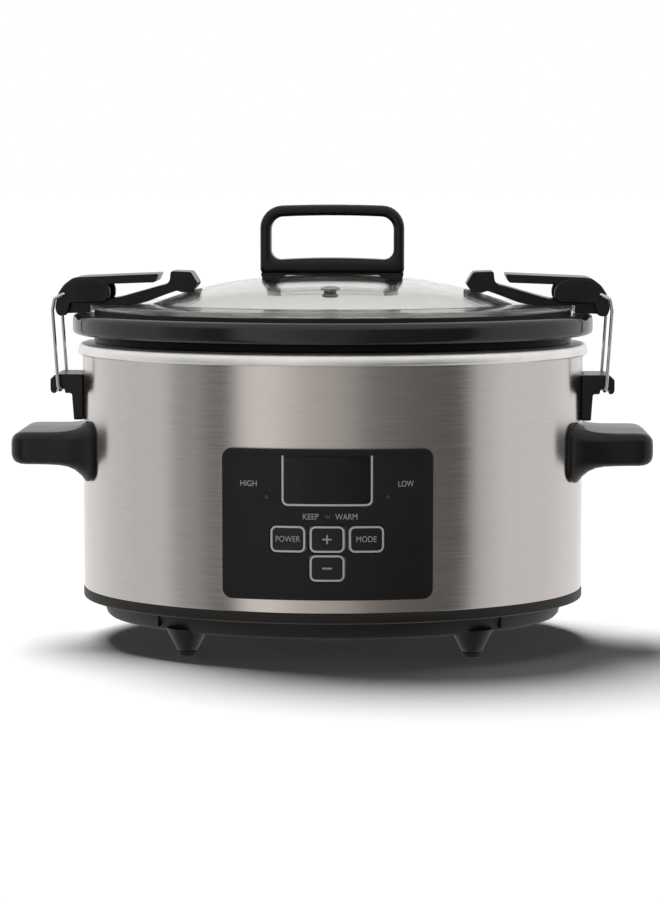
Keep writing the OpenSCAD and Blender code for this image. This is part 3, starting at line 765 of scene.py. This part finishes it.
class BuildLid(bpy.types.Operator):
    """The domed glass with its flat flange, and the steam vent"""
    bl_idname = "cooker.lid"
    bl_label = "Glass lid"

    def execute(self, context):
        glass, reach = size("glass"), DOME_REACH
        flat = Z_GLASS + glass

        def dome(x, drop):
            return flat - drop + DOME_RISE * (1 - min(x / reach, 1) ** 2.5)

        def ring(x, h):
            # The dome is a true ellipse near the middle and takes the line of the flange at its edge.
            w = min(x / reach, 1) ** 3
            edge, plan = oval(reach - HALF_LEN, 0), []
            for k, p in enumerate(edge):
                t = math.tau * k / SIDES
                ex, ey = x * math.cos(t), x * HALF_DEP / HALF_LEN * math.sin(t)
                plan.append((ex + (p[0] * x / reach - ex) * w, ey + (p[1] * x / reach - ey) * w, h))
            return plan

        steps = [2 + (reach - 2) * math.sin(math.pi / 2 * k / 22) for k in range(22)]
        rings = [ring(x, dome(x, 0)) for x in steps]
        edge = reach - HALF_LEN
        rings += [oval(edge + 0.4, flat + 0.35), oval(edge + 2.2, flat + 0.05), oval(edge + 6, flat),
                  oval(-9, flat), oval(-7.2, flat - 0.1), oval(-6.35, flat - 0.5), oval(-6, flat - 1.3),
                  oval(-6.2, flat - 2.4), oval(-7, flat - glass), oval(-12, flat - glass),
                  oval(edge + 5, flat - glass),
                  oval(edge + 1, flat - glass + 0.05), oval(edge - 1.4, flat - glass + 0.5)]
        rings += [ring(x - 1.2 * x / reach, dome(x, glass)) for x in reversed(steps[:-1])]
        lid = skin(rings)
        place("glass_lid", lid, "glass", "lid", ("lid_glass",), sharp=70)
        vy, vz = (cad_low("steam_vent", 1) + cad_top("steam_vent", 1)) / 2, cad_top("steam_vent", 2)
        eyelet = lathe([(2.2, vz - 6.5), (3.4, vz - 6.5), (4.6, vz - 6.1), (4.7, vz - 5.5), (3.4, vz - 5.0),
                        (3.3, vz - 1.6), (5.3, vz - 1.5), (5.4, vz - 0.9), (4.9, vz - 0.2), (4.0, vz),
                        (3.0, vz - 0.1),
                        (2.3, vz - 0.7)], 0, vy, loop=True)
        place("vent_eyelet", eyelet, "vent", "lid", ("steam_vent",))
        return {"FINISHED"}


class BuildLoop(bpy.types.Operator):
    """The lid handle: an arched loop on a slim foot"""
    bl_idname = "cooker.loop"
    bl_label = "Lid handle"

    def execute(self, context):
        bar, low_bar, half, crown, sag = size("loop_bar"), size("loop_low"), LOOP_W / 2, 1.0, 1.3
        low, high, d = Z_LOOP, Z_LOOP + LOOP_H - crown, LOOP_D / 2

        def frame_line(push, inner):
            """Points round the loop; push moves them towards the middle of the bar."""
            if inner:
                hw, r0, r1, dip = half - bar + push, 6, 7, sag
                z0, z1 = low + low_bar - sag - push, high - bar + push
            else:
                hw, r0, r1, dip = half - push, 2.6, 12.4 - push, 0
                z0, z1 = low + push, high - push
            pts = []
            corners = [(1, z1 - r1, r1), (-1, z1 - r1, r1), (-1, z0 + r0, r0), (1, z0 + r0, r0)]
            for q, (side, cz, r) in enumerate(corners):
                cx = side * (hw - r)
                for i in range(9):
                    t = math.radians(90 * q + 90 * i / 8)
                    pts.append((cx + r * math.cos(t), cz + r * math.sin(t)))
                nside, nz, nr = corners[(q + 1) % 4]
                t = math.radians(90 * (q + 1))
                a, b = pts[-1], (nside * (hw - nr) + nr * math.cos(t), nz + nr * math.sin(t))
                pts += [(a[0] + (b[0] - a[0]) * i / 12, a[1] + (b[1] - a[1]) * i / 12) for i in range(1, 12)]
            mid = (z0 + z1) / 2
            return [(x, z + (crown if z > mid else dip) * (1 - (x / hw) ** 2)) for x, z in pts]

        bm = bmesh.new()
        cuts = [(-d, 2.1), (-d + 0.3, 1.3), (-d + 0.9, 0.6), (-d + 1.7, 0.15), (-d + 2.6, 0)]
        cuts += [(-y, push) for y, push in reversed(cuts)]
        rows = [[bm.verts.new((x, y, z)) for x, z in frame_line(push, inner)]
                for inner in (False, True) for y, push in (cuts if not inner else cuts[::-1])]
        for a, b in zip(rows, rows[1:] + rows[:1]):
            for i in range(len(a)):
                j = (i + 1) % len(a)
                bm.faces.new((a[i], a[j], b[j], b[i]))
        place("lid_loop", bm, "plastic", "lid", ("lid_handle",), sharp=60)
        side = [(-41.0, 0.4), (-41.2, -0.6), (-40.3, -3.2), (-37.8, -5.6), (-33.8, -6.2), (-30.6, -5.6),
                (-30.2, -3.6),
                (-27.4, -1.1)]
        side = [(x * half / 41.5, low + z) for x, z in side]
        side += [(-x, z) for x, z in reversed(side)]
        cut = [0.3, 0.6, 1.6, 2.0, 2.0, 1.4, 1.4, 1.6]
        foot = prism(soften(side, cut + cut[::-1]), -6.6, 6.6)
        place("lid_loop_foot", foot, "plastic", "lid", ("lid_handle_foot",),
              bevel=1.6, segments=4)
        return {"FINISHED"}


class BuildLatches(bpy.types.Operator):
    """The lid latches: arms, pivot pins and levers, drawn on the right and mirrored to the left"""
    bl_idname = "cooker.latches"
    bl_label = "Latches"

    def execute(self, context):
        a, e, z = HALF_LEN, X_END, Z_TOP
        px, pz = PIVOT
        edge = a - 6
        arm = [(px + 2.6, pz + 2.6), (px - 1.0, pz + 4.3), (e - 24, z + 8.2), (0.645 * a, z + 17.4),
               (0.64 * a, z + 24.4), (0.532 * a + 4, z + 24), (0.532 * a - 0.4, z + 17),
               (0.532 * a + 3, z + 13), (0.532 * a + 9, z + 12), (0.532 * a + 12, z + 13.2),
               (0.64 * a + 3, z + 10.9), (0.745 * a, z + 6.2), (0.80 * a, z + 5), (edge + 0.6, z + 5),
               (edge + 0.6, z + 0.6), (px, pz - 2.4), (px + 3.0, pz - 1.2)]
        arm = soften(arm, [2, 2, 6, 3, 1.2, 1.2, 2.4, 1.6, 1.6, 1, 4, 4, 1, 0.4, 0.4, 2.4, 2.4])
        lever = [(0.685 * a, z + 23), (0.685 * a + 2, z + 18.1), (e - 14.9, z + 16.9), (e - 1, z + 16.5),
                 (e + 2, z + 14.4), (px + 1, z + 13.7), (e + 3.2, z + 17), (e - 1.7, z + 20.6), (e - 5, z + 21.1)]
        lever = soften(lever, [1.2, 1.4, 4, 2, 1, 1, 2, 2, 3])
        cheek = [(e - 22.8, z + 8.6), (e - 20, z + 6.5), (e - 0.2, z + 6.2), (px - 4.4, pz + 0.4),
                 (px - 2.6, pz - 3.4), (px + 2.4, pz - 3.6), (px + 4.2, pz + 0.6), (px + 2.6, z + 11.5),
                 (e + 2.6, z + 17.6), (e - 3, z + 20.4), (e - 14, z + 20.8), (e - 20.6, z + 18.6),
                 (e - 23.2, z + 14)]
        cheek = soften(cheek, [2, 2, 1.2, 2.4, 2, 2, 2.6, 3, 3, 4, 4, 3.4, 3.4], k=5)
        disc = [(e - 11.2 + 8.6 * math.cos(t), z + 13.4 + 5.6 * math.sin(t))
                for t in [math.tau * i / 40 for i in range(40)]]
        for flip, tag, name in both_sides():
            place("latch_arm_" + name, flip(prism(arm, -13, 13)), "plastic", "lid",
                  ("latch_arm_" + tag,), bevel=0.9)
            body = name + "_lever"
            place("lever_plate_" + name, flip(prism(lever, -17.6, 17.6)), "plastic", body,
                  ("lever_" + tag,), bevel=1.1)
            sides = [prism(cheek, s * 15.9 - 2.1, s * 15.9 + 2.1) for s in (-1, 1)]
            place("lever_cheeks_" + name, flip(joined(sides)), "plastic", body, bevel=1.0)
            faces = [prism(disc, s * 17.95 - 0.2, s * 17.95 + 0.2) for s in (-1, 1)]
            place("lever_faces_" + name, flip(joined(faces)), "panel", body, bevel=0.18)
            pin = lathe([(1.2, -17.9), (1.7, -17.8), (2.0, -17.3), (2.0, 17.3), (1.7, 17.8), (1.2, 17.9)], n=28)
            for v in pin.verts:
                v.co = (v.co.x + px, v.co.z, v.co.y + pz)
            place("pivot_pin_" + name, flip(pin), "wire", "lid", ("pivot_pin_" + tag,))
        return {"FINISHED"}


class BuildBails(bpy.types.Operator):
    """The wire bails, bent from one length of round wire"""
    bl_idname = "cooker.bails"
    bl_label = "Bails"

    def execute(self, context):
        px, pz = PIVOT
        qx, qz = BAIL_TOP
        hx, hz = HOOK
        leg = [(qx, 14.4, qz), (qx, 21, qz), (px + 3.8, 21, qz - 2.6), (px + 5, 21, pz),
               (hx + 0.9, 21, hz + 2.6), (hx, 21, hz)]
        path = leg + [(x, -y, h) for x, y, h in reversed(leg)]
        for flip, tag, name in both_sides():
            line = points_mesh(path, None, [(i, i + 1) for i in range(len(path) - 1)])
            wire = grown(wire_tree(), line, {
                "Wire Radius": size("wire"), "Bend Radius": 1.6, "Finish": finish_of("wire")})
            place("bail_wire_" + name, flip(wire), "wire", name + "_bail", ("bail_" + tag,))
        return {"FINISHED"}


class BuildGrips(bpy.types.Operator):
    """The carrying handles on their curved backing plates, and the hooks above them"""
    bl_idname = "cooker.grips"
    bl_label = "Carrying handles"

    def execute(self, context):
        low, high, out = GRIP_Z, GRIP_Z + GRIP_T, GRIP_OUT

        def section(x, flat, hw, hh, up, r):
            """A slice of the handle: it follows the wrap where flat is 0 and is upright where flat is 1."""
            mid = low + up
            return [(end_x(y, x - HALF_LEN) * (1 - flat) + x * flat, y, z) for y, z in
                    rounded(2 * hw, 2 * hh, r, 8, 0, mid)]

        slices = [(HALF_LEN + 0.02, 0, 41.4, 16.8, 7.8, 8), (HALF_LEN + 1.5, 0, 42, 17.2, 7.8, 8),
                  (HALF_LEN + 2.3, 0, 41.8, 17, 7.8, 8), (HALF_LEN + 2.9, 0, 41.2, 16.2, 7.8, 7.8),
                  (HALF_LEN + 3.9, 0.1, 39.8, 14, 8.1, 7.4), (HALF_LEN + 5.6, 0.35, 38, 11.7, 8.6, 6.8),
                  (HALF_LEN + 8, 0.65, 36.6, 10.3, 9, 6), (HALF_LEN + 11.5, 0.9, 35.6, 9.7, 9.2, 5.4),
                  (out - 22, 1, 35.1, 9.5, 9.3, 5), (out - 14, 1, 35, 9.4, 9.4, 4.6),
                  (out - 9, 1, 35, 9.4, 9.4, 4.6),
                  (out - 6, 1, 34.4, 9.2, 9.4, 4.6), (out - 3.4, 1, 33, 8.5, 9.3, 4.6),
                  (out - 1.5, 1, 31, 7.2, 9.2, 4.4), (out - 0.4, 1, 28.6, 5.6, 9.1, 4), (out, 1, 25, 3.8, 9.1, 3)]
        pocket = rounded(25, 56, 5, 6, out - 18.5, 0)
        a, (hx, z) = HALF_LEN, HOOK
        hook = [(a + 0.6, high + 5.5), (a + 4, high + 5.5), (a + 5, z - 3), (a + 5.4, z - 2.1), (hx - 2.4, z - 2.1),
                (hx - 2.4, z - 1.3)]
        groove = [(hx + 0.2 + 2.6 * math.cos(math.radians(t)), z - 1.3 + 2.6 * math.sin(math.radians(t)))
                  for t in range(180, -1, -20)]
        hook += groove[1:-1]
        hook += [(hx + 2.8, z - 1.3), (hx + 2.8, z - 2.1), (hx + 4.8, z - 2.1), (hx + 6, z - 0.6), (hx + 6, z + 6),
                 (hx + 3, z + 8.9), (a + 0.4, z + 8.9), (a - 1.5, z + 8.9), (a - 1.5, high + 5.5)]
        for flip, tag, name in both_sides():
            grip = less(skin([section(*row) for row in slices]), prism(pocket, low - 8, low + 13, "Z"))
            place("grip_" + name, flip(grip), "plastic", "base", ("side_handle_" + tag,),
                  bevel=0.9, sharp=45)
            block = less(prism(hook, -17, 17), skin([oval(0.02, z - 60), oval(0.02, z + 30)]))
            place("latch_hook_" + name, flip(block), "plastic", "base", ("latch_hook_" + tag,),
                  bevel=0.7)
        return {"FINISHED"}


class BuildPanel(bpy.types.Operator):
    """The bent control panel with its window, silver lines, lamps and labels"""
    bl_idname = "cooker.panel"
    bl_label = "Control panel"

    def execute(self, context):
        ink = size("ink")
        keys = [(-KEY_X, KEY_Z[0]), (0, KEY_Z[0]), (KEY_X, KEY_Z[0]), (0, KEY_Z[1])]
        lamps = [(-33.2, WINDOW_Z - 9), (33.2, WINDOW_Z - 9), (0, WINDOW_Z - 19.65)]
        holes = [rounded(KEY_W + 0.6, KEY_H + 0.6, 3.5, 6, x, z) for x, z in keys]
        holes.append(rounded(WINDOW_W, WINDOW_H, 4.3, 6, 0, WINDOW_Z))
        holes += [rounded(3.0, 3.0, 1.49, 6, x, z) for x, z in lamps]
        outer = rounded(PANEL_W + 1.4, PANEL_H + 1.8, 5.4, 8, 0, PANEL_Z - 0.8)
        place("panel_frame", plate([outer] + holes, 0.02, 2.6, 0.35), "panel", "base",
              ("panel_bezel",), sharp=30)
        face = rounded(PANEL_W - 4.6, PANEL_H - 4.6, 3.4, 8, 0, PANEL_Z - 0.6)
        place("panel_face", plate([face] + holes, 2.3, 3.0, 0.1), "panel", "base", sharp=30)
        window = rounded(WINDOW_W - 0.2, WINDOW_H - 0.2, 4.2, 6, 0, WINDOW_Z)
        place("window_pane", plate([window], 1.2, 2.5, 0.2),
              "window", "base", ("display_window",))

        def path(inset):
            """The silver line: down one side of the window, along its foot and up the other side."""
            x, low, high = WINDOW_W / 2 - inset, WINDOW_Z - WINDOW_H / 2 + inset, WINDOW_Z + WINDOW_H / 2 + 0.2
            corners = [(-x, high), (-x, low), (x, low), (x, high)]
            return soften(corners, 4.0 - inset, closed=False, k=8)

        ring = plate([path(0) + path(ink)[::-1]], 2.4, 3.1, 0.1)
        place("window_line", ring, "ink", "base", ("display_trim",), sharp=40)
        for (x, z), node in zip(lamps, ("led_high", "led_low", "led_warm")):
            lamp = plate([rounded(2.5, 2.5, 1.24, 6, x, z)], 1.5, 3.05, 0.25)
            place("lamp_" + node[4:], lamp, "led", "base", (node,))
        cap = size("label")
        words = (("HIGH", 9.0, -42.9, WINDOW_Z - 1.7), ("LOW", 8.3, 42.8, WINDOW_Z - 1.7),
                 ("KEEP", 8.5, -8.9, WINDOW_Z - 19.4), ("WARM", 11.9, 10.4, WINDOW_Z - 19.4))
        for text, width, x, z in words:
            place("label_" + text.lower(), letters(text, cap, width, x, z, 2.96, 3.06),
                  "print", "base")
        return {"FINISHED"}


class BuildKeys(bpy.types.Operator):
    """The four keys, each with its silver outline and its label"""
    bl_idname = "cooker.keys"
    bl_label = "Keys"

    def execute(self, context):
        ink, cap = size("ink"), size("label")
        for name, x, z in (("power", -KEY_X, KEY_Z[0]), ("plus", 0, KEY_Z[0]), ("mode", KEY_X, KEY_Z[0]),
                           ("minus", 0, KEY_Z[1])):
            body = "key_" + name
            button = plate([rounded(KEY_W, KEY_H, 3.4, 6, x, z)], -3.0, 3.1, 0.3)
            place("key_cap_" + name, button, "key", body, (body,), sharp=30)
            outline = plate([rounded(KEY_W - 2 * k, KEY_H - 2 * k, 3.45 - k, 6, x, z) for k in (0.25, 0.25 + ink)],
                            2.9, 3.2, 0.05)
            place("key_ring_" + name, outline, "ink", body)
            if name in ("power", "mode"):
                width = {"power": 13.3, "mode": 11.0}[name]
                mark = letters(name.upper(), cap, width, x, z + 0.1, 3.04, 3.18)
            elif name == "plus":
                arm, w = 2.5, 0.45
                cross = ((-arm, -w), (-w, -w), (-w, -arm), (w, -arm), (w, -w), (arm, -w),
                         (arm, w), (w, w), (w, arm), (-w, arm), (-w, w), (-arm, w))
                mark = plate([[(x + u, z + v) for u, v in cross]], 2.98, 3.18, 0.03)
            else:
                mark = plate([[(x + u, z + v) for u, v in ((-2.7, -0.5), (2.7, -0.5), (2.7, 0.5), (-2.7, 0.5))]],
                             2.98, 3.18, 0.03)
            place("key_mark_" + name, mark, "print", body)
        return {"FINISHED"}


class BuildStage(bpy.types.Operator):
    """Floor, studio light and camera"""
    bl_idname = "cooker.stage"
    bl_label = "Stage"

    def execute(self, context):
        scene = context.scene
        scene.view_settings.view_transform = "Standard"
        floor = working_object("floor", bpy.data.meshes.new("floor"))
        floor.data.from_pydata([(-30, -30, 0), (30, -30, 0), (30, 30, 0), (-30, 30, 0)], [], [(0, 1, 2, 3)])
        mat, tree, shader, at = finish("white_sweep", {"Roughness": 0.9, "Specular IOR Level": 0.0})
        pale = tone(tree, grain(tree, at, 3.0), linear("#f2f2f1"), linear("#f4f4f4"))
        tree.links.new(pale, shader.inputs["Base Color"])
        floor.data.materials.append(mat)
        floor.visible_glossy = False
        world = bpy.data.worlds.new("studio")
        scene.world = world
        world.use_nodes = True
        tree = world.node_tree
        tree.nodes.clear()
        way = add(tree, "ShaderNodeTexCoord").outputs["Generated"]
        round_ = add(tree, "ShaderNodeTexGradient", {"Vector": way}, gradient_type="RADIAL").outputs["Fac"]
        ramp = add(tree, "ShaderNodeValToRGB", {"Fac": round_})
        # Softboxes and dark flags round the table: degrees from straight ahead, towards the right.
        stops = [(-90, 0.74), (-67, 0.76), (-60, 0.44), (-50, 0.38), (-45, 0.23), (-38, 0.17), (-31, 0.9),
                 (-22, 0.92), (-8, 0.58), (4, 0.47), (14, 0.22), (28, 0.16), (47, 0.11), (50, 0.14), (55, 0.62),
                 (70, 0.86), (100, 0.88), (125, 1.0), (235, 1.0), (262, 0.8)]
        bar = ramp.color_ramp
        bar.elements.remove(bar.elements[1])
        bar.elements[0].position = 0.0
        bar.elements[0].color = (0.76, 0.76, 0.75, 1)
        for degrees, value in stops[1:]:
            warm = 0.03 if abs(degrees) < 33 else 0.0
            bar.elements.new(0.25 + degrees / 360).color = (value * (1 + warm), value, value * (1 - warm), 1)
        height = add(tree, "ShaderNodeSeparateXYZ", {"Vector": way}).outputs["Z"]
        above = add(tree, "ShaderNodeMapRange", {"Value": height, "From Min": 0.12, "From Max": 0.45}).outputs[0]
        sky = add(tree, "ShaderNodeMix", {0: above, 6: ramp.outputs[0], 7: (1, 1, 1, 1)},
                  data_type="RGBA").outputs[2]
        path = add(tree, "ShaderNodeLightPath").outputs
        seen = add(tree, "ShaderNodeMath", {0: path["Is Camera Ray"], 1: path["Is Transmission Ray"]},
                   operation="MAXIMUM").outputs[0]
        shown = add(tree, "ShaderNodeMix", {0: seen, 6: sky, 7: (1, 1, 1, 1)}, data_type="RGBA").outputs[2]
        # Matt surfaces see only the low part of the surround, so that the lamp casts a deep shadow.
        low = add(tree, "ShaderNodeMapRange", {"Value": height, "From Min": 0.1, "From Max": 0.3,
                                               "To Min": 0.9, "To Max": 0.02}).outputs[0]
        amount = add(tree, "ShaderNodeMix", {"Factor": path["Is Diffuse Ray"], "A": 1.0, "B": low}).outputs[0]
        light = add(tree, "ShaderNodeBackground", {"Color": shown, "Strength": amount}).outputs[0]
        add(tree, "ShaderNodeOutputWorld", {"Surface": light})
        lamp = bpy.data.lights.new("high_lamp", "SUN")
        lamp.energy, lamp.angle = 3.9, math.radians(34)
        high = working_object("high_lamp", lamp)
        high.rotation_euler = Vector((0.28, -0.42, -1)).to_track_quat("-Z", "Y").to_euler()
        high.visible_glossy = high.visible_transmission = False
        lens = bpy.data.cameras.new("camera")
        lens.lens, lens.sensor_width, lens.dof.use_dof = 106.9, 36.0, False
        eye = working_object("camera", lens)
        eye.location = (0.0406, -1.549, 0.272)
        eye.rotation_euler = (math.radians(90 - 5.98), 0, math.radians(1.555))
        scene.camera = eye
        return {"FINISHED"}


OPERATORS = (BuildFinishes, BuildWrap, BuildWell, BuildBase, BuildCrock, BuildLid, BuildLoop, BuildLatches,
             BuildBails, BuildGrips, BuildPanel, BuildKeys, BuildStage)


class CookerPanel(bpy.types.Panel):
    """The sidebar tab that lists the pieces"""
    bl_idname = "VIEW3D_PT_cooker"
    bl_label = "Slow cooker"
    bl_space_type = "VIEW_3D"
    bl_region_type = "UI"
    bl_category = "Cooker"

    def draw(self, context):
        for group in (context.scene.cooker_sizes, context.scene.cooker_colours):
            column = self.layout.column()
            for name in group.__annotations__:
                column.prop(group, name)
        for operator in OPERATORS:
            self.layout.operator(operator.bl_idname)


CLASSES = (CookerSizes, CookerColours, *OPERATORS, CookerPanel)


def register():
    for cls in CLASSES:
        bpy.utils.register_class(cls)
    bpy.types.Scene.cooker_sizes = bpy.props.PointerProperty(type=CookerSizes)
    bpy.types.Scene.cooker_colours = bpy.props.PointerProperty(type=CookerColours)


def unregister():
    del bpy.types.Scene.cooker_colours
    del bpy.types.Scene.cooker_sizes
    for cls in reversed(CLASSES):
        bpy.utils.unregister_class(cls)


def main():
    register()
    for operator in OPERATORS:
        group, name = operator.bl_idname.split(".")
        getattr(getattr(bpy.ops, group), name)()


if __name__ == "__main__":
    main()
